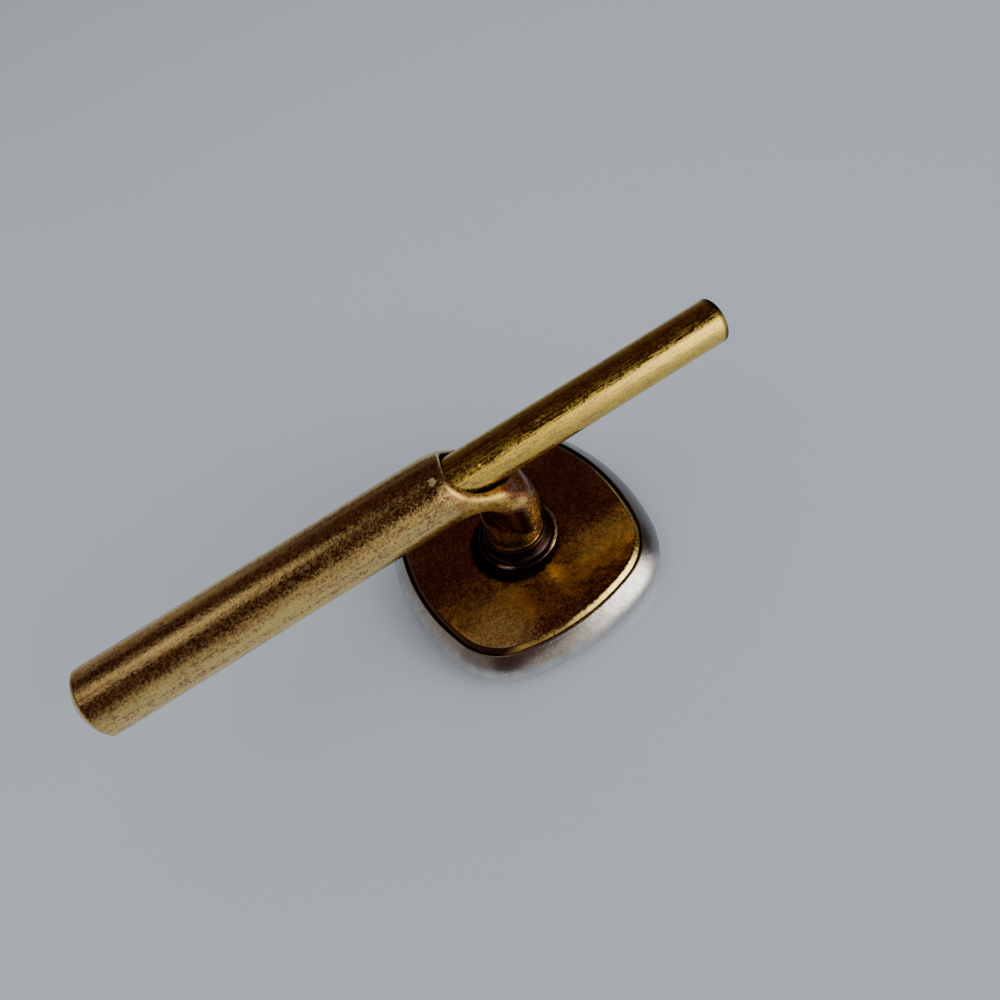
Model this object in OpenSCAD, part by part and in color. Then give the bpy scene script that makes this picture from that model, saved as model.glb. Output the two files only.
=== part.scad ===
// Dress stud seen from the back: a cushion-shaped head, a bent tube that
// stands on its back plate, and a sprung rod that slides in the tube.
// It lies on its face. The origin is the centre of the face, +Z goes up the
// post and +X runs along the bar towards the free end of the rod.

/* [Head] */
// Width of the head across the middle of its sides
head_w = 9.46; // [8.5:0.02:11]
// Thickness of the head, from the face to the back plate
head_t = 1.65; // [1.65:0.05:2.4]
// Bulge of the rounded rim outside the seam round the back plate
rim_bulge = 0.57; // [0.4:0.01:0.6]
// Radius of the rounded rim, seen in section
rim_r = 0.8; // [0.65:0.05:0.8]
// Radius of the slightly bowed sides, at the seam
side_r = 8; // [7:0.1:12]
// Radius of the rounded corners, at the seam
corner_r = 2.3; // [1.8:0.05:3]
// Thickness of the front wall of the hollow shell
face_t = 0.55; // [0.4:0.05:0.8]
// Width of the ledge inside the shell that carries the back plate
ledge_w = 0.6; // [0.5:0.05:1]
// Turn of the head about the post, against the line of the bar
head_turn = 3; // [-10:0.5:10]

/* [Back plate] */
// Thickness of the back plate
plate_t = 0.5; // [0.4:0.05:0.6]
// Width of the open seam between the shell and the back plate
seam_gap = 0.05; // [0.02:0.01:0.1]

/* [Tube] */
// Outside diameter of the barrel, three thirty-seconds of an inch
tube_d = 2.38; // [2.36:0.02:2.48]
// Wall of the tube
tube_wall = 0.2; // [0.15:0.01:0.22]
// Height of the bar's centre line above the back plate
bar_h = 4.9; // [4.2:0.05:6]
// Radius of the bend, at the centre line of the tube
bend_r = 1.25; // [1.25:0.05:1.8]
// Diameter of the post, where the bending has drawn the tube narrower
post_d = 2.1; // [2:0.02:2.2]
// Distance of the post from the head's centre, towards the rod
post_x = 0.1; // [0:0.01:0.3]
// Length of the barrel, from the head's centre to its closed end
barrel_len = 14.2; // [12:0.1:18]
// Radius of the shallow dome on the closed end
end_dome_r = 1.7; // [1.3:0.1:4]

/* [Opening in the bend] */
// Distance from the head's centre back to the lip of the opening
lip_x = 1.36; // [1.2:0.02:1.6]
// Radius of the scooped cut, seen from the side
scoop_r = 2.67; // [2.2:0.01:3.2]
// Height of the scooped cut's lowest point, against the bar's centre line
scoop_low = -0.39; // [-0.5:0.01:-0.2]
// Slope of the cut beyond the post's centre line, in degrees
drop_slope = 55; // [45:1:65]
// Height of the rounded shoulder under the rod, against the bar's centre line
shoulder_top = -1; // [-1.2:0.01:-1]
// Radius of the shoulder's rounded edge
shoulder_r = 0.9; // [0.6:0.05:1.1]
// Height over which the tube narrows from its own diameter to the post's
taper_h = 1; // [0.5:0.1:1.4]
// Depth of the wide mouth, from the lip to the narrow neck behind it
mouth_len = 0.4; // [0.3:0.05:0.8]
// Length of the narrow neck that guides the rod
neck_len = 1.2; // [0.8:0.05:2]

/* [Rod] */
// Diameter of the rod, one sixteenth of an inch
rod_d = 1.59; // [1.5:0.01:1.6]
// Reach of the rod beyond the head's centre
rod_reach = 9; // [6:0.1:12]
// Gap all round between the rod and the neck, and between its head and the bore
slide_gap = 0.04; // [0.02:0.01:0.06]
// Length of the rod's head, which keeps it in the barrel
rod_head_len = 1; // [0.6:0.1:1.6]
// Radius of the rounded edge at the free end of the rod
rod_edge_r = 0.08; // [0.04:0.01:0.2]

/* [Collar] */
// Radius of the collar's foot on the back plate
foot_r = 1.5; // [1.45:0.01:1.8]
// Thickness of the collar's foot
foot_t = 0.18; // [0.1:0.02:0.24]
// Radius of the collar's upper edge
collar_r = 1.16; // [1.14:0.01:1.4]
// Height of the collar above the back plate
collar_h = 0.7; // [0.4:0.05:1]

/* [Hidden] */
$fn = 96;
part_gap = 0.02;
corner_lap = 0.01;
end_wall = 0.6;
rod_rest_gap = 0.05;
over = 1;

tube_r = tube_d / 2;
bore_r = tube_r - tube_wall;
post_r = post_d / 2;
rod_r = rod_d / 2;
rod_head_r = bore_r - slide_gap;
neck_r = rod_r + slide_gap;
bar_z = head_t + bar_h;
bend_z = bar_z - bend_r;
neck_x = -lip_x - mouth_len;
neck_end_x = neck_x - neck_len;
rod_head_x = neck_end_x - rod_rest_gap;
post_foot_z = head_t - plate_t;
shoulder_z = bar_z + shoulder_top - shoulder_r;
taper_z = shoulder_z - tube_r / 2;
scoop_z = bar_z + scoop_low + scoop_r;
scoop_x = sqrt(pow(scoop_r, 2) - pow(scoop_z - bar_z - tube_r, 2)) - lip_x;
drop_z = scoop_z - sqrt(pow(scoop_r, 2) - pow(scoop_x - post_x, 2));

// The seam's outline has four bowed sides and four corners, all tangent arcs:
// a corner's centre is side_r - corner_r away from the centre of each side
seam_half = head_w / 2 - rim_bulge;
side_off = side_r - seam_half;
arc_dist = side_r - corner_r;
corner_off = (sqrt(2 * arc_dist * arc_dist - side_off * side_off) - side_off) / 2;
side_half_angle = atan2(corner_off, corner_off + side_off);

// Half width of the square, set cornerwise, that cuts off the bowed sides
// where the corners begin
function clip_half(grow) =
    ((side_r + grow) * (cos(side_half_angle) + sin(side_half_angle)) - side_off) / sqrt(2);

// Outline of the seam, grown evenly by grow
module cushion(grow = 0) {
    union() {
        intersection() {
            intersection_for(turn = [0 : 90 : 270])
                rotate(turn) translate([-side_off, 0]) circle(r = side_r + grow);
            rotate(45) square(2 * clip_half(grow), center = true);
        }
        for (turn = [0 : 90 : 270])
            rotate(turn) translate([corner_off, corner_off]) circle(r = corner_r + grow);
    }
}

// Section of a disc whose rounded rim bulges outside the radius r of the seam
module rimmed_section(r) {
    rim_x = r + rim_bulge - rim_r;
    square([rim_x, head_t]);
    translate([0, rim_r]) square([r + rim_bulge, head_t - 2 * rim_r]);
    for (z = [rim_r, head_t - rim_r]) translate([rim_x, z]) circle(r = rim_r);
}

// The solid cushion: four sectors for the bowed sides, and four discs that
// cross them a little past the tangent lines for the corners
module solid_cushion() {
    for (turn = [0 : 90 : 270]) rotate(turn) {
        translate([-side_off, 0])
            rotate(-side_half_angle)
                rotate_extrude(angle = 2 * side_half_angle) rimmed_section(side_r);
        translate([corner_off, corner_off])
            rotate_extrude() rimmed_section(corner_r + corner_lap);
    }
}

module face_shell() {
    recess_z = post_foot_z - part_gap;
    color("silver") rotate(head_turn) difference() {
        solid_cushion();
        translate([0, 0, recess_z]) linear_extrude(plate_t + over) cushion();
        translate([0, 0, face_t]) linear_extrude(recess_z - face_t + part_gap) cushion(-ledge_w);
    }
}

module back_plate() {
    color("darkgoldenrod") difference() {
        translate([0, 0, post_foot_z]) rotate(head_turn) linear_extrude(plate_t) cushion(-seam_gap);
        translate([post_x, 0, post_foot_z - over])
            cylinder(r = post_r + part_gap, h = plate_t + 2 * over);
    }
}

module post_collar() {
    color("peru") translate([post_x, 0, head_t + part_gap]) rotate_extrude() difference() {
        union() {
            square([foot_r - foot_t / 2, foot_t]);
            translate([foot_r - foot_t / 2, foot_t / 2]) circle(r = foot_t / 2);
            polygon([[0, 0], [foot_r - foot_t, foot_t], [collar_r, collar_h], [0, collar_h]]);
        }
        translate([0, -over]) square([post_r + part_gap, collar_h + 2 * over]);
    }
}

// A round bar along X, from x0 to x1 at the height of the bar's centre line
module bar_along(r, x0, x1) {
    translate([x0, 0, bar_z]) rotate([0, 90, 0]) cylinder(r = r, h = x1 - x0);
}

// The barrel with its domed end, and the bend
module barrel_and_bend() {
    bend_x = post_x - bend_r;
    intersection() {
        bar_along(tube_r, -barrel_len, bend_x);
        translate([end_dome_r - barrel_len, 0, bar_z]) union() {
            sphere(r = end_dome_r);
            rotate([0, 90, 0]) cylinder(r = end_dome_r, h = barrel_len);
        }
    }
    translate([bend_x, 0, bend_z]) rotate([90, 0, 0])
        rotate_extrude(angle = 90) translate([bend_r, 0]) circle(r = tube_r);
}

// The post, with the rounded shoulder that the bend leaves on top of it
module post() {
    translate([post_x, 0, 0]) {
        translate([0, 0, post_foot_z]) cylinder(r = post_r, h = taper_z - taper_h - post_foot_z);
        translate([0, 0, taper_z - taper_h]) cylinder(r1 = post_r, r2 = tube_r, h = taper_h);
        translate([0, 0, taper_z]) cylinder(r = tube_r, h = shoulder_z - taper_z);
        translate([0, 0, shoulder_z]) rotate_extrude() intersection() {
            union() {
                translate([tube_r - shoulder_r, 0]) circle(r = shoulder_r);
                square([tube_r - shoulder_r, shoulder_r]);
            }
            square(tube_d);
        }
    }
}

// What the scooped opening takes from the outside of the bend
module opening_cut() {
    cut_w = 2 * tube_d;
    translate([scoop_x, tube_d, scoop_z]) rotate([90, 0, 0]) cylinder(r = scoop_r, h = cut_w);
    translate([post_x, -tube_d, drop_z]) rotate([0, drop_slope, 0]) translate([-over, 0, 0]) cube(cut_w);
}

module bent_tube() {
    color("goldenrod") difference() {
        union() {
            difference() {
                barrel_and_bend();
                opening_cut();
            }
            post();
        }
        bar_along(bore_r, neck_x, tube_d);
        bar_along(neck_r, neck_end_x - over, neck_x + over);
        bar_along(bore_r, end_wall - barrel_len, neck_end_x);
    }
}

module sliding_rod() {
    color("goldenrod") {
        bar_along(rod_r, rod_head_x - rod_head_len / 2, rod_reach - rod_edge_r);
        bar_along(rod_head_r, rod_head_x - rod_head_len, rod_head_x);
        bar_along(rod_r - rod_edge_r, rod_reach - 2 * rod_edge_r, rod_reach);
        translate([rod_reach - rod_edge_r, 0, bar_z]) rotate([0, 90, 0])
            rotate_extrude() translate([rod_r - rod_edge_r, 0]) circle(r = rod_edge_r);
    }
}

face_shell();
back_plate();
post_collar();
bent_tube();
sliding_rod();
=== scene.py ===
# Dress stud seen from the back: a silver cushion head with a tarnished gold
# plate, and a bent gold tube with a sliding rod. All sizes are in millimetres
# until a mesh is made, and w counts up from the bar's centre line.
import math

import bpy
import numpy as np
from mathutils import Euler, Matrix


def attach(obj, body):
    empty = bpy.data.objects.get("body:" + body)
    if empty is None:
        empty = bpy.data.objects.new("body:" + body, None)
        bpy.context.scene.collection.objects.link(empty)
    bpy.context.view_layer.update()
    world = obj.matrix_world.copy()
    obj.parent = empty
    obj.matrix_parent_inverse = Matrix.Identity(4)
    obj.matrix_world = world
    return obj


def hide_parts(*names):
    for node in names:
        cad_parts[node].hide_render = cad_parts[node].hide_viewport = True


MM = 0.001

# Head
HEAD_TURN = math.radians(3)
HEAD_T = 1.65
RIM_BULGE = 0.57
RIM_R = 0.8
RIM_SLOPE = math.radians(39)  # slope of the upper rim where it meets the seam
RIM_DROP = 0.006  # how far the upper rim starts below the seam's level
SEAM_HALF = 4.16
SIDE_R = 8.0
CORNER_R = 2.3
FACE_T = 0.55
LEDGE_W = 0.6
PLATE_T = 0.5
SEAM_GAP = 0.06
UNDER_GAP = 0.02  # gap under the plate
PLATE_RISE = 0.14  # how far the plate's middle stands above the seam
PLATE_CROWN = 0.03
PLATE_EDGE_W = 0.2
PLATE_EDGE_H = 0.16
PLATE_CHAMFER = 0.02
SEAM_LIP_R = 0.03

# Post and collar
POST_X = 0.1
POST_R = 1.05
POST_TOP = 3.73
POST_TAPER = 0.08
POST_EDGE = 0.12
POST_BLEND = 0.06
FOOT_R = 1.5
COLLAR_R = 1.17
COLLAR_H = 0.7
COLLAR_BEAD_R = 0.09
COLLAR_EDGE_R = 0.07
COLLAR_GAP = 0.01  # gap between the collar and the plate
COLLAR_LAP = 0.1  # how far the collar reaches into the post

# Tube and rod
BAR_Z = 6.55
TUBE_R = 1.19
BORE_R = 0.99
MOUTH_R = 0.91
NECK_R = 0.835
NECK_X = -1.76
NECK_END_X = -2.96
NECK_LAP = 0.5  # how far the neck's bore runs on into the barrel's
NECK_ROUND = 0.04
BORE_ROUND = 0.05
BARREL_END_X = -14.2
END_WALL = 0.6
END_DOME_R = 1.7
ROD_R = 0.795
ROD_END_X = 9.12
ROD_HEAD_R = 0.95
ROD_HEAD_X = -3.01
ROD_HEAD_LEN = 1.0
ROD_CROWN = 0.06
ROD_EDGE = 0.07


def smooth_min(a, b, k):
    """Union of two distance fields, blended over a width of k."""
    h = np.clip(0.5 + 0.5 * (b - a) / k, 0, 1)
    return b + (a - b) * h - k * h * (1 - h)


def smooth_max(a, b, k):
    """Intersection of two distance fields, blended over a width of k."""
    return -smooth_min(-a, -b, k)


def smooth_step(x, low, high):
    """Rises smoothly from 0 at low to 1 at high."""
    t = np.clip((x - low) / (high - low), 0, 1)
    return t * t * (3 - 2 * t)


def rounded_corner(a, b, r):
    """Intersection of two distance fields with a round edge of radius r."""
    outside = np.hypot(np.maximum(a + r, 0), np.maximum(b + r, 0))
    return outside + np.minimum(np.maximum(a + r, b + r), 0) - r


# Centre line of the bend, seen from the side as x and w, as a cubic curve,
# and the half thickness and half width of the flattened tube along it
BEND = np.array([(-2.0, 0.0), (-0.75, 0.0), (0.42, -0.75), (0.4, -2.65)])
BEND_THICK = (TUBE_R, 0.86)
BEND_WIDE = (TUBE_R, 1.22)
BEND_STEPS = 48


def bend_points():
    t = np.linspace(0, 1, BEND_STEPS)[:, None]
    return ((1 - t) ** 3 * BEND[0] + 3 * t * (1 - t) ** 2 * BEND[1]
            + 3 * t ** 2 * (1 - t) * BEND[2] + t ** 3 * BEND[3])


def tube_sweep(x, y, w):
    """Distance to the outside of the barrel and the flattened bend."""
    path = bend_points()
    best = np.full(x.shape, np.inf)
    place = np.zeros(x.shape)
    for i in range(BEND_STEPS - 1):
        a, b = path[i], path[i + 1]
        step = b - a
        t = ((x - a[0]) * step[0] + (w - a[1]) * step[1]) / (step @ step)
        t = np.clip(t, 0, 1)
        gap = (x - a[0] - t * step[0]) ** 2 + (w - a[1] - t * step[1]) ** 2
        nearer = gap < best
        best = np.where(nearer, gap, best)
        place = np.where(nearer, (i + t) / (BEND_STEPS - 1), place)
    blend = smooth_step(place, 0, 0.8)
    thick = BEND_THICK[0] + (BEND_THICK[1] - BEND_THICK[0]) * blend
    wide = BEND_WIDE[0] + (BEND_WIDE[1] - BEND_WIDE[0]) * blend
    bend = (np.sqrt(best / thick ** 2 + (y / wide) ** 2 + 1e-12) - 1) * thick
    barrel = np.hypot(y, w) - TUBE_R
    return np.where(x < BEND[0][0], barrel, bend)


def barrel_end(x, y, w):
    """Distance to the dome that closes the barrel's far end."""
    centre = BARREL_END_X + END_DOME_R
    return np.where(x < centre, np.sqrt((x - centre) ** 2 + y ** 2 + w ** 2) - END_DOME_R, -END_DOME_R)


# The opening in the bend: a scoop seen from the side, then a slope
SCOOP_R = 1.95
SCOOP_X = 0.55
SCOOP_W = 1.5
DROP_X = 0.1
DROP_W = -0.2
DROP_SLOPE = math.radians(55)
DROP_BLEND = 0.3
LIP_SKEW = 0.15  # how far the far side of the lip reaches ahead of the near side
LIP_ROUND_NEAR = 0.24
LIP_ROUND_FAR = 0.06


def opening(x, y, w):
    """Distance to what the opening takes away."""
    ahead = LIP_SKEW * smooth_step(y, -0.6, 0.6)
    scoop = np.hypot(x - SCOOP_X - ahead, w - SCOOP_W) - SCOOP_R
    slope = -((x - DROP_X) * math.sin(DROP_SLOPE) + (w - DROP_W) * math.cos(DROP_SLOPE))
    return smooth_min(scoop, slope, DROP_BLEND)


# The shoulder under the rod: an oval column with a rounded top edge
SHOULDER_X = 0.36
SHOULDER_HALF_X = 0.8
SHOULDER_HALF_Y = 1.18
SHOULDER_W = -0.93
SHOULDER_EDGE = 0.5
SHOULDER_SINK = 0.4  # how far it reaches down into the post
SHOULDER_BLEND = 0.2


def shoulder(x, y, w):
    """Distance to the rounded column under the rod."""
    oval = np.sqrt(((x - SHOULDER_X) / SHOULDER_HALF_X) ** 2 + (y / SHOULDER_HALF_Y) ** 2 + 1e-12)
    side = (oval - 1) * SHOULDER_HALF_X
    foot = POST_TOP - BAR_Z - SHOULDER_SINK
    return np.maximum(rounded_corner(side, w - SHOULDER_W, SHOULDER_EDGE), foot - w)


def post(x, y, w):
    """Distance to the post, which narrows a little towards the rim at its top."""
    rise = np.clip((w + BAR_Z - HEAD_T) / (POST_TOP - HEAD_T), 0, 1)
    side = np.hypot(x - POST_X, y) - (POST_R - POST_TAPER * rise)
    return rounded_corner(side, w - (POST_TOP - BAR_Z), POST_EDGE)


def bores(x, y, w):
    """Distance to the hollow inside of the tube."""
    off_axis = np.hypot(y, w)
    mouth = np.maximum(off_axis - MOUTH_R, NECK_X - x)
    neck = np.maximum(off_axis - NECK_R, NECK_END_X - NECK_LAP - x)
    inside = np.maximum(off_axis - BORE_R, np.maximum(x - NECK_END_X, BARREL_END_X + END_WALL - x))
    return smooth_min(np.minimum(mouth, inside), neck, NECK_ROUND)


# The leaning plane that trims the front of the bend
FRONT_X = 0.72
FRONT_LEAN = 0.27
FRONT_STEEPNESS = 1.04  # how fast x + FRONT_LEAN * w grows across the plane
FRONT_ROUND = 0.25


def tube_field(x, y, z):
    """Distance to the whole bent tube."""
    w = z - BAR_Z
    body = np.maximum(tube_sweep(x, y, w), barrel_end(x, y, w))
    lip_round = LIP_ROUND_NEAR + (LIP_ROUND_FAR - LIP_ROUND_NEAR) * smooth_step(y, -0.4, 0.3)
    body = smooth_max(body, -opening(x, y, w), lip_round)
    body = smooth_min(body, shoulder(x, y, w), SHOULDER_BLEND)
    body = smooth_max(body, (x + FRONT_LEAN * w - FRONT_X) / FRONT_STEEPNESS, FRONT_ROUND)
    body = smooth_min(body, post(x, y, w), POST_BLEND)
    body = smooth_max(body, -bores(x, y, w), BORE_ROUND)
    return np.maximum(body, HEAD_T - PLATE_T - z)


def grid_lines(*spans):
    """Grid lines over spans given as (start, end, spacing at start, spacing at end)."""
    lines = [spans[0][0]]
    for start, end, first, last in spans:
        count = max(2, round((end - start) / ((first + last) / 2)))
        t = np.linspace(0, 1, count + 1)[1:]
        ease = t * 2 * first / (first + last) + t ** 2 * (last - first) / (first + last)
        lines += list(start + (end - start) * ease)
    return np.array(lines)


def surface_net(field, xs, ys, zs):
    """Points and quads of the closed surface where field is zero."""
    value = np.empty((len(xs), len(ys), len(zs)))
    for i in range(0, len(xs), 16):
        part = np.meshgrid(xs[i:i + 16], ys, zs, indexing="ij")
        value[i:i + 16] = field(*part)
    inside = value < 0
    total = sum(
        inside[a:len(xs) - 1 + a, b:len(ys) - 1 + b, c:len(zs) - 1 + c].astype(np.int8)
        for a in (0, 1) for b in (0, 1) for c in (0, 1))
    cells = np.argwhere((total > 0) & (total < 8))
    number = np.full(total.shape, -1)
    number[tuple(cells.T)] = np.arange(len(cells))
    lines = (xs, ys, zs)
    low = np.stack([lines[d][cells[:, d]] for d in range(3)], 1)
    size = np.stack([lines[d][cells[:, d] + 1] for d in range(3)], 1) - low
    place = np.zeros((len(cells), 3))
    crossings = np.zeros(len(cells))
    for axis in range(3):
        for b in (0, 1):
            for c in (0, 1):
                corner = np.zeros(3, int)
                corner[[d for d in range(3) if d != axis]] = b, c
                far = corner.copy()
                far[axis] = 1
                v0 = value[tuple((cells + corner).T)]
                v1 = value[tuple((cells + far).T)]
                crossed = (v0 < 0) != (v1 < 0)
                t = np.where(crossed, v0 / np.where(crossed, v0 - v1, 1), 0)
                point = np.tile(corner.astype(float), (len(cells), 1))
                point[:, axis] = t
                place += np.where(crossed[:, None], point, 0)
                crossings += crossed
    points = low + size * place / crossings[:, None]
    quads = []
    for axis in range(3):
        u, v = (axis + 1) % 3, (axis + 2) % 3
        first = [slice(None)] * 3
        second = [slice(None)] * 3
        first[axis] = slice(0, -1)
        second[axis] = slice(1, None)
        change = inside[tuple(first)] != inside[tuple(second)]
        edges = np.argwhere(change)
        edges = edges[(edges[:, u] > 0) & (edges[:, v] > 0)]
        step_u = np.eye(3, dtype=int)[u]
        step_v = np.eye(3, dtype=int)[v]
        round_edge = ((1, 1), (0, 1), (0, 0), (1, 0))
        ring = np.stack([number[tuple((edges - a * step_u - b * step_v).T)] for a, b in round_edge], 1)
        outward = inside[tuple(edges.T)]
        quads.append(np.where(outward[:, None], ring, ring[:, ::-1]))
    return points, np.concatenate(quads)


def gradient(field, points, step=1e-4):
    """Slope of field at each point."""
    slope = np.empty_like(points)
    for d in range(3):
        shift = np.zeros(3)
        shift[d] = step
        slope[:, d] = (field(*(points + shift).T) - field(*(points - shift).T)) / (2 * step)
    return slope


def bulge(field, points, step=0.07, full=1.2):
    """How sharply the surface bulges at each point: 1 on an edge, below 0 in a hollow."""
    total = np.zeros(len(points))
    for d in range(3):
        shift = np.zeros(3)
        shift[d] = step
        total += field(*(points + shift).T) + field(*(points - shift).T)
    return np.clip(total / step / full, -1, 1)


def settle(field, points, reach):
    """Moves points onto the surface of field, by at most reach a step."""
    for _ in range(4):
        slope = gradient(field, points)
        square = np.maximum((slope ** 2).sum(1), 0.05)
        move = -(field(*points.T) / square)[:, None] * slope
        length = np.linalg.norm(move, axis=1, keepdims=True)
        points = points + move * np.minimum(1, reach / np.maximum(length, 1e-9))
    return points


def mesh_object(name, points, faces, normals=None):
    """Blender object from points in millimetres, with smooth shading."""
    mesh = bpy.data.meshes.new(name)
    mesh.from_pydata((np.asarray(points) * MM).tolist(), [], [list(map(int, f)) for f in faces])
    mesh.validate()
    mesh.update()
    mesh.shade_smooth()
    if normals is not None:
        mesh.normals_split_custom_set_from_vertices(normals.tolist())
    piece = bpy.data.objects.new(name, mesh)
    bpy.context.scene.collection.objects.link(piece)
    return piece


def ring_faces(rings, count):
    """Quads between successive rings of count points, closed round."""
    faces = []
    for r in range(rings - 1):
        for i in range(count):
            j = (i + 1) % count
            faces.append((r * count + i, r * count + j, (r + 1) * count + j, (r + 1) * count + i))
    return faces


def lathe(profile, centre, around=160, along=2):
    """Points and faces of a turned surface: profile lists (radius, height) and
    along is the axis that it is turned about."""
    turn = np.linspace(0, 2 * math.pi, around, endpoint=False)
    points = []
    for radius, height in profile:
        ring = np.zeros((around, 3))
        ring[:, (along + 1) % 3] = radius * np.cos(turn)
        ring[:, (along + 2) % 3] = radius * np.sin(turn)
        ring[:, along] = height
        points.append(ring + centre)
    return np.concatenate(points), ring_faces(len(profile), around)


def arc(centre_x, centre_y, radius, start, end, steps):
    """Points along an arc, from start to end in degrees."""
    angles = np.radians(np.linspace(start, end, steps))
    return [(centre_x + radius * math.cos(a), centre_y + radius * math.sin(a)) for a in angles]


def cushion_outline(points_a_side=48, points_a_corner=48):
    """Places and outward normals along the seam: bowed sides and round corners."""
    side_off = SIDE_R - SEAM_HALF
    reach = SIDE_R - CORNER_R
    corner_off = (math.sqrt(2 * reach ** 2 - side_off ** 2) - side_off) / 2
    half_angle = math.atan2(corner_off, corner_off + side_off)
    places, normals = [], []
    for quarter in range(4):
        turn = quarter * math.pi / 2 + HEAD_TURN
        cos_turn, sin_turn = math.cos(turn), math.sin(turn)
        parts = (
            (-side_off, 0, SIDE_R, -half_angle, half_angle, points_a_side),
            (corner_off, corner_off, CORNER_R, half_angle, math.pi / 2 - half_angle, points_a_corner),
        )
        for cx, cy, radius, start, end, count in parts:
            for angle in np.linspace(start, end, count, endpoint=False):
                x, y = cx + radius * math.cos(angle), cy + radius * math.sin(angle)
                places.append((x * cos_turn - y * sin_turn, x * sin_turn + y * cos_turn))
                normals.append((math.cos(angle + turn), math.sin(angle + turn)))
    return np.array(places), np.array(normals)


def cushion_solid(section):
    """Sweeps a section round the seam and closes its two ends. The section lists
    (offset from the seam, height, share), where share is the part of its full
    size that the outline is drawn in to."""
    places, normals = cushion_outline()
    count = len(places)
    points = []
    for offset, height, share in section:
        ring = (places + normals * offset) * share
        points.append(np.column_stack([ring, np.full(count, height)]))
    points = np.concatenate(points)
    faces = ring_faces(len(section), count)
    faces.append(tuple(range(count))[::-1])
    faces.append(tuple(range((len(section) - 1) * count, len(section) * count)))
    return points, faces


def head_shell():
    """The silver shell: flat face, rounded rim and the ledge inside it."""
    rim = RIM_BULGE - RIM_R
    recess = HEAD_T - PLATE_T - UNDER_GAP
    flat = [(rim, 0, s) for s in (0.02, 0.2, 0.4, 0.6, 0.8, 0.92)]
    lower = arc(rim, RIM_R, RIM_R, -90, 0, 24)
    start_z, bulge_z = HEAD_T - RIM_DROP, HEAD_T - RIM_R
    bend_z = start_z - (RIM_BULGE - SEAM_LIP_R) * math.tan(RIM_SLOPE)
    upper = []
    for t in np.linspace(1, 0, 24):
        u = 1 - t
        offset = u * u * SEAM_LIP_R + (1 - u * u) * RIM_BULGE
        upper.append((offset, u * u * start_z + 2 * t * u * bend_z + t * t * bulge_z))
    lip = arc(SEAM_LIP_R, HEAD_T - SEAM_LIP_R, SEAM_LIP_R, 80, 180, 8)
    inside = [(0, recess), (-LEDGE_W, recess), (-LEDGE_W, FACE_T)]
    section = flat + [(o, z, 1) for o, z in lower + upper[:-1] + lip + inside]
    section += [(-LEDGE_W, FACE_T, s) for s in (0.7, 0.4, 0.02)]
    return mesh_object("head_shell", *cushion_solid(section))


def gold_plate():
    """The plate in the shell's recess: slightly crowned, with a bevelled edge."""
    bottom = HEAD_T - PLATE_T
    section = [(-SEAM_GAP - PLATE_CHAMFER, bottom, s) for s in (0.3, 0.6, 0.9, 1)]
    section.append((-SEAM_GAP, bottom + PLATE_CHAMFER, 1))
    edge_top = HEAD_T + PLATE_RISE - PLATE_CROWN
    for inward in np.linspace(0, 1, 12):
        height = edge_top - PLATE_EDGE_H * (1 - inward) ** 1.4
        section.append((-SEAM_GAP - PLATE_EDGE_W * inward, height, 1))
    for s in np.linspace(1, 0.25, 50)[1:]:
        section.append((-SEAM_GAP - PLATE_EDGE_W, edge_top + PLATE_CROWN * (1 - s ** 6), s))
    return mesh_object("gold_plate", *cushion_solid(section))


def flared_collar():
    """The collar round the post's foot: a bead on the plate and a flared neck.
    Its inside lies hidden in the post."""
    base = HEAD_T + PLATE_RISE + COLLAR_GAP
    inside_r = POST_R - COLLAR_LAP
    bead_r = FOOT_R - COLLAR_BEAD_R
    profile = [(inside_r, base), (bead_r, base)]
    profile += arc(bead_r, base + COLLAR_BEAD_R, COLLAR_BEAD_R, -80, 110, 14)
    for inward, up in ((0.16, 0.13), (0.24, 0.2), (0.29, 0.32)):
        profile.append((FOOT_R - inward, base + up))
    profile.append((COLLAR_R, base + COLLAR_H - 2 * COLLAR_EDGE_R))
    profile += arc(COLLAR_R - COLLAR_EDGE_R, base + COLLAR_H - COLLAR_EDGE_R, COLLAR_EDGE_R, 0, 90, 6)
    profile += [(inside_r, base + COLLAR_H), (inside_r, base)]
    points, faces = lathe(profile, (POST_X, 0, 0))
    return mesh_object("flared_collar", points, faces)


def rod_piece():
    """The sliding rod, with its hidden head and a slightly crowned free end."""
    around = 128
    back_x = ROD_HEAD_X - ROD_HEAD_LEN
    face_r = ROD_R - ROD_EDGE
    profile = [(0.01, back_x), (ROD_HEAD_R, back_x), (ROD_HEAD_R, ROD_HEAD_X), (ROD_R, ROD_HEAD_X)]
    profile += [(ROD_R, x) for x in np.arange(ROD_HEAD_X + 0.1, ROD_END_X - 0.2, 0.06)]
    profile += [(r, x) for x, r in arc(ROD_END_X - ROD_CROWN - ROD_EDGE, face_r, ROD_EDGE, 90, 8, 7)]
    for s in (0.9, 0.75, 0.55, 0.35, 0.15, 0.02):
        profile.append((face_r * s, ROD_END_X - ROD_CROWN * s ** 2))
    points, faces = lathe(profile, (0, 0, BAR_Z), around, along=0)
    faces += [tuple(range(around))[::-1], tuple(range(len(points) - around, len(points)))]
    return mesh_object("rod", points, faces)


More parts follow.
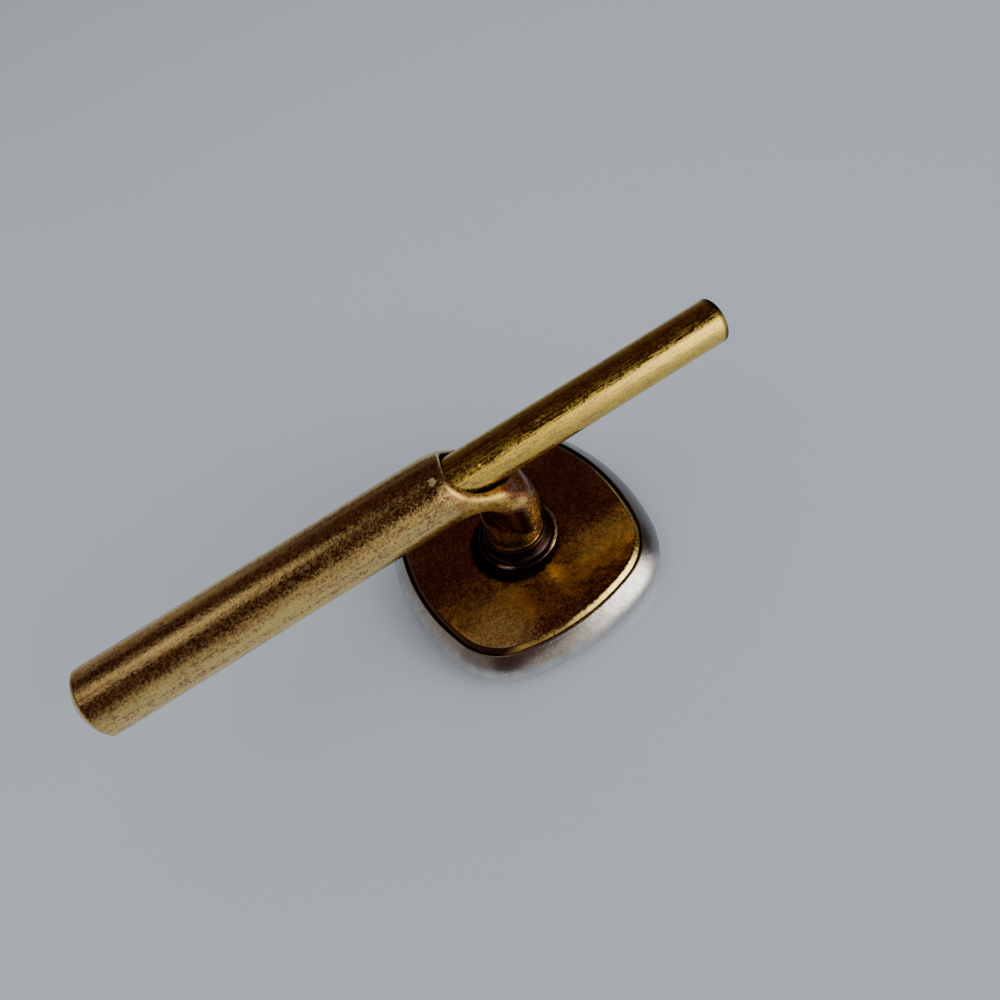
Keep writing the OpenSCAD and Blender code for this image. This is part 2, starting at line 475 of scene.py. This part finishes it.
def tube_piece():
    """The bent tube, meshed from its distance field. Each point of the mesh also
    has the value edge, which says how sharply the surface bulges there."""
    # The grid is fine round the bend and the dome, and coarse along the barrel
    fine = 0.036
    xs = grid_lines((BARREL_END_X - 0.05, -12.4, fine, 0.25), (-12.4, -4.0, 0.25, 0.2),
                    (-4.0, -2.2, 0.2, fine), (-2.2, 1.45, fine, fine))
    ys = grid_lines((-1.4, 1.4, fine, fine))
    zs = grid_lines((HEAD_T - PLATE_T - 0.05, 3.3, 0.08, 0.08), (3.3, BAR_Z + 1.35, fine, fine))
    points, quads = surface_net(tube_field, xs, ys, zs)
    points = settle(tube_field, points, fine / 2)
    slope = gradient(tube_field, points)
    normals = slope / np.maximum(np.linalg.norm(slope, axis=1, keepdims=True), 1e-9)
    tube = mesh_object("bent_gold_tube", points, quads, normals)
    edge = tube.data.attributes.new("edge", "FLOAT", "POINT")
    edge.data.foreach_set("value", bulge(tube_field, points))
    return tube


class Nodes:
    """A node tree, with short calls to add linked nodes."""

    def __init__(self, tree):
        self.tree = tree

    def add(self, kind, values=None, **settings):
        """Adds a node; values gives its inputs, as numbers or other nodes' outputs."""
        node = self.tree.nodes.new(kind)
        for key, value in settings.items():
            setattr(node, key, value)
        for key, value in (values or {}).items():
            self.feed(node.inputs[key], value)
        return node

    def feed(self, socket, value):
        if isinstance(value, bpy.types.NodeSocket):
            self.tree.links.new(value, socket)
        else:
            socket.default_value = value

    def place(self, scale=(1, 1, 1)):
        """Position on the object in millimetres, stretched by scale."""
        coords = self.add("ShaderNodeTexCoord").outputs["Object"]
        values = {"Vector": coords, "Scale": [s / MM for s in scale]}
        return self.add("ShaderNodeMapping", values).outputs[0]

    def split(self, vector):
        return self.add("ShaderNodeSeparateXYZ", {0: vector}).outputs

    def noise(self, where, scale, detail=4.0, rough=0.55):
        values = {"Vector": where, "Scale": scale, "Detail": detail, "Roughness": rough}
        return self.add("ShaderNodeTexNoise", values).outputs["Fac"]

    def span(self, value, low, high, out_low=0.0, out_high=1.0):
        """Maps value from low..high to out_low..out_high, smoothly and clamped."""
        values = {"Value": value, "From Min": low, "From Max": high, "To Min": out_low, "To Max": out_high}
        return self.add("ShaderNodeMapRange", values, interpolation_type="SMOOTHSTEP").outputs[0]

    def math(self, operation, a, b=0.0):
        return self.add("ShaderNodeMath", {0: a, 1: b}, operation=operation).outputs[0]

    def product(self, first, *others):
        for other in others:
            first = self.math("MULTIPLY", first, other)
        return first

    def weigh(self, *terms):
        """Sum of (factor, value) pairs."""
        total = None
        for factor, value in terms:
            part = self.math("MULTIPLY", value, factor)
            total = part if total is None else self.math("ADD", total, part)
        return total

    def near(self, where, point, outer, inner):
        """1 within inner of a point, falling to 0 at outer."""
        gap = self.add("ShaderNodeVectorMath", {0: where, 1: point}, operation="DISTANCE").outputs["Value"]
        return self.span(gap, outer, inner)

    def mix(self, share, a, b):
        """Colour between a and b: inputs 6 and 7 and output 2 are the colour sockets."""
        node = self.add("ShaderNodeMix", data_type="RGBA")
        self.feed(node.inputs[0], share)
        self.feed(node.inputs[6], a)
        self.feed(node.inputs[7], b)
        return node.outputs[2]

    def from_line(self, a, b, a_middle, b_middle):
        """Distance from a line, by two coordinates across it and their values on it."""
        a = self.math("POWER", self.math("SUBTRACT", a, a_middle), 2.0)
        b = self.math("POWER", self.math("SUBTRACT", b, b_middle), 2.0)
        return self.math("SQRT", self.math("ADD", a, b))

    def bump(self, height, depth, normal=None):
        """Bump of depth millimetres."""
        values = {"Height": height, "Strength": 1.0, "Distance": depth * MM}
        if normal is not None:
            values["Normal"] = normal
        return self.add("ShaderNodeBump", values).outputs[0]


class Metal(Nodes):
    """A metal's material."""

    def __init__(self, name):
        self.material = bpy.data.materials.new(name)
        self.material.use_nodes = True
        super().__init__(self.material.node_tree)
        self.bsdf = self.tree.nodes["Principled BSDF"]
        self.feed(self.bsdf.inputs["Metallic"], 1.0)

    def finish(self, colour, roughness, normal):
        self.feed(self.bsdf.inputs["Base Color"], colour)
        self.feed(self.bsdf.inputs["Roughness"], roughness)
        self.feed(self.bsdf.inputs["Normal"], normal)
        return self.material


# Golds, what covers them, and the colours of painted shade and highlight
GOLD = (0.86, 0.58, 0.18, 1)
PALE_GOLD = (0.88, 0.67, 0.24, 1)
RUBBED_GOLD = (0.62, 0.44, 0.13, 1)
BARE_GOLD = (0.95, 0.78, 0.4, 1)
ORANGE_GOLD = (0.95, 0.6, 0.13, 1)
DARK_ORANGE = (0.52, 0.26, 0.07, 1)
COPPER = (0.5, 0.25, 0.09, 1)
HIGHLIGHT_PINK = (0.85, 0.66, 0.58, 1)
UMBER = (0.33, 0.16, 0.1, 1)
ROD_SHADE_BROWN = (0.24, 0.12, 0.06, 1)
RUST_AND_SHADE = (0.15, 0.035, 0.02, 1)
SHADE_AND_SPECK_BLACK = (0.05, 0.03, 0.03, 1)

# Places on the tube
BEND_SIDE = (-0.4, -0.95, 6.2)
MOUTH_SIDE = (-1.2, -0.7, 7.0)
SHOULDER_TOP = (0.5, -0.3, 5.72)
WORN_SPOT = (-1.767, -0.473, 7.642)
RING_RIGHT = (1.45, -0.6, 1.9)
RING_LEFT = (-1.0, -1.05, 1.9)


def tube_gold():
    """Worn gold on the tube and the collar: dark grain and rolling lines, orange
    on the bend, copper round the mouth, rubbed edges, painted shade under the rod on
    the shoulder in brown, painted shade under the bend in dark red, painted shade
    in black on the collar and in the bore, bright stretches on the collar's ring as
    painted highlight, black in the deepest specks, and one worn spot."""
    m = Metal("tube_gold")
    where = m.place()
    x, y, z = m.split(where)
    off_axis = m.from_line(y, z, 0.0, BAR_Z)
    from_post = m.from_line(x, y, POST_X, 0.0)
    wear = m.add("ShaderNodeAttribute", attribute_name="edge").outputs["Fac"]

    # Grain and rolling lines
    grain = m.noise(where, 12.0, 3.0, 0.65)
    speck = m.noise(where, 5.5, 3.0, 0.7)
    rolled = m.noise(m.place((0.04, 1, 1)), 9.0, 3.0, 0.65)
    patches = m.noise(where, 1.3, 4.0, 0.6)
    tone = m.weigh((0.4, grain), (0.25, speck), (0.35, rolled))
    colour = m.mix(m.span(tone, 0.4, 0.54), UMBER, m.mix(patches, GOLD, PALE_GOLD))

    # Orange on the side of the bend
    bend = m.near(where, BEND_SIDE, 1.6, 0.8)
    mottle = m.span(m.weigh((0.6, grain), (0.4, speck)), 0.43, 0.55)
    orange = m.mix(mottle, DARK_ORANGE, ORANGE_GOLD)
    colour = m.mix(m.weigh((0.85, bend)), colour, orange)

    # Copper round the mouth and in patches
    mouth = m.near(where, MOUTH_SIDE, 1.2, 0.3)
    copper = m.weigh((0.35, mouth), (0.6, patches), (1.1, speck), (-0.15, wear))
    copper = m.span(copper, 0.95, 1.25, 0.0, 0.7)
    colour = m.mix(copper, colour, m.mix(m.span(grain, 0.4, 0.55), RUST_AND_SHADE, COPPER))

    # Gold on the rubbed edges, from the shoulder up
    rubbed = m.weigh((0.7, m.span(wear, 0.12, 0.26)), (1.0, m.span(speck, 0.6, 0.4, -0.2, 0.0)))
    colour = m.mix(m.product(rubbed, m.span(z, 5.2, 5.8)), colour, RUBBED_GOLD)

    # Painted shade under the rod on top of the shoulder, brown with grain
    rod_shade = m.near(where, SHOULDER_TOP, 1.3, 0.7)
    rod_shade = m.weigh((1.2, rod_shade), (1.0, speck), (-0.4, m.span(wear, 0.3, 0.8)))
    rod_shade_colour = m.mix(m.span(grain, 0.42, 0.58), RUST_AND_SHADE, ROD_SHADE_BROWN)
    colour = m.mix(m.span(rod_shade, 0.85, 1.5), colour, rod_shade_colour)

    # Painted shade under the bend, in dark red, less of it on the post
    behind = m.span(m.weigh((1.0, x), (-0.3, y)), 0.95, 0.65)
    under = m.product(m.span(z, 5.35, 4.8), behind, m.span(z, 3.45, 3.65, 0.2, 1.0))
    under_shade = m.math("SUBTRACT", m.weigh((1.0, under), (0.4, speck)), 0.2)
    colour = m.mix(under_shade, colour, RUST_AND_SHADE)

    # Painted highlight: two bright pink stretches of the collar's ring, where its highlights fall
    ring_highlight = m.math("ADD", m.near(where, RING_RIGHT, 1.1, 0.7), m.near(where, RING_LEFT, 0.45, 0.1))
    ring_highlight = m.product(ring_highlight, m.span(from_post, 1.34, 1.39))
    colour = m.mix(m.product(ring_highlight, m.span(z, 2.1, 2.0)), colour, HIGHLIGHT_PINK)

    # Painted shade on the rest of the collar and in the bore, and black in the deepest specks
    darkening = m.product(m.span(z, 2.75, 2.6), m.span(from_post, 1.04, 1.07), m.math("SUBTRACT", 1.0, ring_highlight))
    in_bore = m.product(m.span(off_axis, 1.02, 0.95), m.span(x, 0.1, -0.2), m.span(x, -13.5, -13.3))
    darkening = m.math("MAXIMUM", darkening, in_bore)
    darkening = m.math("MAXIMUM", darkening, m.span(speck, 0.32, 0.26))
    colour = m.mix(darkening, colour, SHADE_AND_SPECK_BLACK)

    # A spot by the mouth that is worn bright
    worn = m.near(where, WORN_SPOT, 0.32, 0.0)
    worn = m.span(m.weigh((1.0, worn), (0.8, speck), (0.4, grain)), 1.1, 1.4)
    colour = m.mix(worn, colour, BARE_GOLD)

    polish = m.span(grain, 0.42, 0.58, 0.14, 0.3)
    roughness = m.weigh((1.0, polish), (0.1, copper), (0.35, worn), (0.22, bend))
    coarse = m.product(grain, m.math("ADD", m.weigh((2.0, bend)), 1.0))
    normal = m.bump(coarse, 0.004)
    normal = m.bump(rolled, 0.003, normal)
    normal = m.bump(speck, 0.01, normal)
    normal = m.bump(patches, 0.015, normal)
    return m.finish(colour, roughness, normal)


DRAWN_GOLD = (0.8, 0.55, 0.08, 1)
BRIGHT_DRAWN_GOLD = (0.86, 0.62, 0.14, 1)
CUT_END = (0.055, 0.035, 0.02, 1)

# Small nicks in the rod, as places and radii
NICKS = (
    ((2.05, -0.282, 7.293), 0.1),
    ((2.273, -0.23, 7.311), 0.08),
    ((-0.272, -0.482, 7.183), 0.08),
)


def rod_gold():
    """Bright drawn gold with fine lines along the rod, dark dashes, a dark ring
    round the free end and a few nicks."""
    m = Metal("rod_gold")
    where = m.place()
    x, y, z = m.split(where)
    grain = m.noise(where, 11.0, 3.0, 0.65)
    drawn = m.noise(m.place((0.08, 1, 1)), 18.0, 3.0, 0.6)
    dashes = m.noise(m.place((0.2, 1, 1)), 13.0, 2.0, 0.55)
    patches = m.noise(m.place((0.4, 1, 1)), 1.3, 3.0, 0.6)
    tone = m.weigh((0.45, grain), (0.55, drawn))
    colour = m.mix(patches, DRAWN_GOLD, BRIGHT_DRAWN_GOLD)
    colour = m.mix(m.span(tone, 0.42, 0.54, 0.55, 0.0), colour, UMBER)
    dark = m.span(m.weigh((0.75, dashes), (0.25, patches)), 0.62, 0.68)
    colour = m.mix(dark, colour, UMBER)
    end = m.product(m.span(x, 8.84, 8.95), m.span(m.from_line(y, z, 0.0, BAR_Z), 0.55, 0.68))
    colour = m.mix(m.weigh((0.9, end)), colour, CUT_END)
    nicks = m.weigh(*[(1.0, m.near(where, place, radius, 0.0)) for place, radius in NICKS])
    polish = m.span(tone, 0.44, 0.56, 0.15, 0.36)
    roughness = m.weigh((1.0, polish), (0.2, nicks), (0.1, end))
    normal = m.bump(grain, 0.003)
    normal = m.bump(drawn, 0.004, normal)
    normal = m.bump(nicks, 0.012, normal)
    return m.finish(colour, roughness, normal)


SILVER = (0.74, 0.72, 0.68, 1)
DULL_SILVER = (0.54, 0.51, 0.48, 1)
SIDE_SHADE_GREY = (0.24, 0.235, 0.24, 1)


def satin_silver():
    """Worn satin silver with fine scratches, a slightly mottled tone and painted
    shade, a darker grey, on two sides of the rim."""
    m = Metal("satin_silver")
    where = m.place()
    x, y = m.split(where)[:2]
    fine = m.noise(where, 15.0, 3.0, 0.6)
    mottle = m.noise(where, 2.2, 4.0, 0.6)
    tone = m.span(m.weigh((0.5, fine), (0.5, mottle)), 0.4, 0.6)
    colour = m.mix(tone, SILVER, DULL_SILVER)
    # Painted shade: a darker grey on the right and left sides of the rim
    right = m.product(m.span(x, 2.6, 3.4), m.span(y, -3.7, -3.2), m.span(y, 0.0, 2.5, 0.9, 0.7))
    left = m.span(x, -3.4, -4.3, 0.0, 0.35)
    colour = m.mix(m.math("ADD", right, left), colour, SIDE_SHADE_GREY)
    roughness = m.math("ADD", m.weigh((0.14, fine), (0.1, mottle)), 0.12)
    normal = m.bump(fine, 0.004)
    normal = m.bump(mottle, 0.012, normal)
    return m.finish(colour, roughness, normal)


PLATE_GOLD = (0.74, 0.45, 0.19, 1)
PLATE_BROWN = (0.38, 0.18, 0.09, 1)
SATIN_SHEEN_GOLD = (0.98, 0.75, 0.36, 1)
SATIN_SHEEN_BROWN = (0.5, 0.3, 0.1, 1)
SHADE_BROWN = (0.3, 0.13, 0.06, 1)
COLLAR_SHADE_BLACK = (0.02, 0.01, 0.01, 1)
EDGE_LIT_GOLD = (0.9, 0.66, 0.2, 1)
EDGE_SHADE_BROWN = (0.12, 0.05, 0.03, 1)
NEAR_CORNER = (-2.6, -3.3, 1.75)
SHADE_MIDDLE = (-0.15, -0.15)


def plate_gold():
    """Tarnished gold plate, slightly uneven: satin with a painted sheen in the near
    corner and in a patch on the right, a dark band of painted shade below that, painted
    shade round the collar, and a bevelled edge painted bright on the near right, dark elsewhere."""
    m = Metal("plate_gold")
    where = m.place()
    x, y = m.split(where)[:2]
    waves = m.noise(where, 0.9, 2.0, 0.5)
    peel = m.noise(where, 5.0, 3.0, 0.6)
    grain = m.noise(where, 12.0, 3.0, 0.65)
    tone = m.weigh((0.4, grain), (0.3, peel), (0.3, waves))
    colour = m.mix(m.span(tone, 0.4, 0.6), PLATE_BROWN, PLATE_GOLD)

    # Satin corner and patch: rougher, and painted brighter gold as a painted sheen
    patch = m.product(m.span(y, -1.0, -1.5), m.span(y, -2.65, -2.35), m.span(x, 0.9, 1.8, 0.0, 0.5))
    satin_sheen = m.math("MAXIMUM", m.near(where, NEAR_CORNER, 1.9, 0.4), patch)
    sheen_grain = m.span(m.weigh((0.6, grain), (0.4, peel)), 0.4, 0.6)
    colour = m.mix(satin_sheen, colour, m.mix(sheen_grain, SATIN_SHEEN_BROWN, SATIN_SHEEN_GOLD))

    # Dark band of painted shade below the patch, and black painted shade round the collar
    shade = m.product(m.span(y, -2.4, -2.7), m.span(x, -0.6, 0.6, 0.0, 0.7), m.span(y, -4.2, -3.4))
    colour = m.mix(shade, colour, SHADE_BROWN)
    darkening = m.weigh((1.0, m.from_line(x, y, *SHADE_MIDDLE)), (0.3, peel))
    colour = m.mix(m.span(darkening, 1.95, 1.75), colour, COLLAR_SHADE_BLACK)

    # Bevelled edge, painted light: gold where it faces the near right, brown painted shade elsewhere
    facing = m.split(m.add("ShaderNodeTexCoord").outputs["Normal"])
    lit = m.span(m.weigh((0.6, facing[0]), (-0.8, facing[1])), 0.25, 0.45)
    colour = m.mix(m.span(facing[2], 0.97, 0.9), colour, m.mix(lit, EDGE_SHADE_BROWN, EDGE_LIT_GOLD))

    roughness = m.math("ADD", m.span(grain, 0.4, 0.6, 0.12, 0.3), m.weigh((0.24, satin_sheen)))
    normal = m.bump(grain, 0.003)
    normal = m.bump(peel, 0.005, normal)
    normal = m.bump(waves, 0.07, normal)
    return m.finish(colour, roughness, normal)


FLOOR_COLOUR = (0.6, 0.68, 0.77, 1)
WALL_GLOW = (0.44, 0.48, 0.52, 1)
BLACK = (0, 0, 0, 1)
FLOOR_HALF = 400
WALL_R = 395
WALL_H = 900


def plain_material(name, values):
    """A material with the same values all over."""
    material = bpy.data.materials.new(name)
    material.use_nodes = True
    for key, value in values.items():
        material.node_tree.nodes["Principled BSDF"].inputs[key].default_value = value
    return material


# Surround as the metal mirrors it
SURROUND = (0.04, 0.014, 0.014)
WINDOW_TINT = (1.0, 0.97, 0.87)
WINDOW_RISE = (0.663, 0.556)  # slope of its top edge, along +X and towards the camera's side
WINDOW_TURN = 0.87  # where it is brightest, as an angle round Z
WINDOW_FADE = 3.05
WINDOW_GLOW = 4.6
WINDOW_BASE = 0.3
STRIP_TILT = 0.07
STRIP_HALF = 0.33
STRIP_LIGHT = 0.62


def world_light():
    """Studio surround, set by direction: a dark warm ceiling, a window low on
    the near right whose top edge slopes, a strip overhead and dim sides."""
    world = bpy.data.worlds.new("studio")
    bpy.context.scene.world = world
    world.use_nodes = True
    world.node_tree.nodes.clear()
    n = Nodes(world.node_tree)
    x, y, z = n.split(n.add("ShaderNodeTexCoord").outputs["Generated"])
    near = n.math("MULTIPLY", y, -1.0)
    tilt = n.math("ARCTAN2", near, z)  # 0 overhead, positive towards the camera's side
    round_z = n.math("ARCTAN2", near, x)  # 0 along +X, positive towards the camera's side

    # Window below a sloping plane, with a glow that fades to both sides
    below = n.weigh((WINDOW_RISE[0], x), (WINDOW_RISE[1], near), (-1.0, z))
    window = n.span(below, -0.025, 0.035)
    window = n.product(window, n.span(round_z, 0.2, 0.42), n.span(round_z, 2.3, 1.9))
    aside = n.math("POWER", n.weigh((WINDOW_FADE, n.math("SUBTRACT", round_z, WINDOW_TURN))), 2.0)
    glow = n.math("EXPONENT", n.math("MULTIPLY", aside, -1.0))
    window = n.product(window, n.math("ADD", n.weigh((WINDOW_GLOW, glow)), WINDOW_BASE))

    # Strip overhead, which tapers towards +X
    taper = n.math("MINIMUM", n.math("SUBTRACT", n.weigh((-1.5, x)), 0.12), STRIP_HALF)
    strip = n.math("SUBTRACT", taper, n.math("ABSOLUTE", n.math("SUBTRACT", tilt, STRIP_TILT)))
    strip = n.product(n.span(strip, 0.0, 0.04), n.span(x, -0.58, -0.42, 0.0, STRIP_LIGHT))

    # Dim light from the far side and the left
    far_side = n.product(n.span(tilt, -0.8, -1.2), n.span(x, -0.1, -0.3, 0.06, 0.2))
    left = n.span(x, -0.7, -0.95, 0.0, 0.15)

    light = n.weigh((1.0, window), (1.0, strip), (1.0, far_side), (1.0, left))
    values = {0: light, 1: WINDOW_TINT, 2: SURROUND}
    colour = n.add("ShaderNodeVectorMath", values, operation="MULTIPLY_ADD").outputs[0]
    background = n.add("ShaderNodeBackground", {"Color": colour})
    n.feed(n.add("ShaderNodeOutputWorld").inputs[0], background.outputs[0])


def add_soft_box():
    """Large soft light over the floor, kept out of the mirrored surround."""
    light = bpy.data.lights.new("soft_box", "AREA")
    light.shape = "DISK"
    light.size = 1200 * MM
    light.energy = 2.3
    light.color = (0.97, 0.99, 1.0)
    lamp = bpy.data.objects.new("soft_box", light)
    lamp.location = (30 * MM, -70 * MM, 250 * MM)
    lamp.visible_glossy = False
    lamp.visible_camera = False
    bpy.context.scene.collection.objects.link(lamp)


# Camera fitted to the outlines of the head, the tube and the rod
CAMERA_PLACE = (-2.723, -15.067, 25.436)
CAMERA_TURN = (33.566, 13.658, -29.851)  # degrees about X, Y and Z
CAMERA_LENS = 27.36
CAMERA_SENSOR = 36


def add_camera():
    """Camera at the photo's place and angle."""
    camera = bpy.data.objects.new("camera", bpy.data.cameras.new("camera"))
    camera.data.sensor_width = CAMERA_SENSOR
    camera.data.lens = CAMERA_LENS
    camera.data.clip_start = 0.001
    camera.data.clip_end = 10
    turn = Euler([math.radians(angle) for angle in CAMERA_TURN]).to_matrix().to_4x4()
    camera.matrix_world = Matrix.Translation([side * MM for side in CAMERA_PLACE]) @ turn
    bpy.context.scene.collection.objects.link(camera)
    bpy.context.scene.camera = camera


def add_floor():
    """Plain pale floor that the stud lies on."""
    half = FLOOR_HALF
    points = [(-half, -half, 0), (half, -half, 0), (half, half, 0), (-half, half, 0)]
    floor = mesh_object("floor", points, [(0, 1, 2, 3)])
    values = {"Base Color": FLOOR_COLOUR, "Roughness": 0.2}
    floor.data.materials.append(plain_material("pale_floor", values))


def add_backdrop():
    """Plain pale wall round the floor for low views, left out of the reflections."""
    points, faces = lathe([(WALL_R, -1), (WALL_R, WALL_H)], (0, 0, 0), around=96)
    wall = mesh_object("backdrop", points, faces)
    wall.visible_glossy = False
    wall.visible_diffuse = False
    wall.visible_shadow = False
    values = {"Base Color": BLACK, "Specular IOR Level": 0}
    values.update({"Emission Color": WALL_GLOW, "Emission Strength": 1})
    wall.data.materials.append(plain_material("pale_wall", values))


def dress(piece, material, body, node):
    piece.data.materials.append(material)
    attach(piece, body)
    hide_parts(node)


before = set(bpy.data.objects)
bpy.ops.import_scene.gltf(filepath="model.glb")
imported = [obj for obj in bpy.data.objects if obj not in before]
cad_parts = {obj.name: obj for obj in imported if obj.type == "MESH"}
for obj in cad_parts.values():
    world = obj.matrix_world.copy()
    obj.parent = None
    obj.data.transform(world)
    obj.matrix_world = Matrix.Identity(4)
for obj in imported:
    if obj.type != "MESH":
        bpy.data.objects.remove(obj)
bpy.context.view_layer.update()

tube_metal = tube_gold()
dress(head_shell(), satin_silver(), "stud", "face_shell")
dress(gold_plate(), plate_gold(), "stud", "back_plate")
dress(flared_collar(), tube_metal, "stud", "post_collar")
dress(tube_piece(), tube_metal, "stud", "bent_tube")
dress(rod_piece(), rod_gold(), "rod", "sliding_rod")
add_floor()
add_backdrop()
world_light()
add_soft_box()
add_camera()
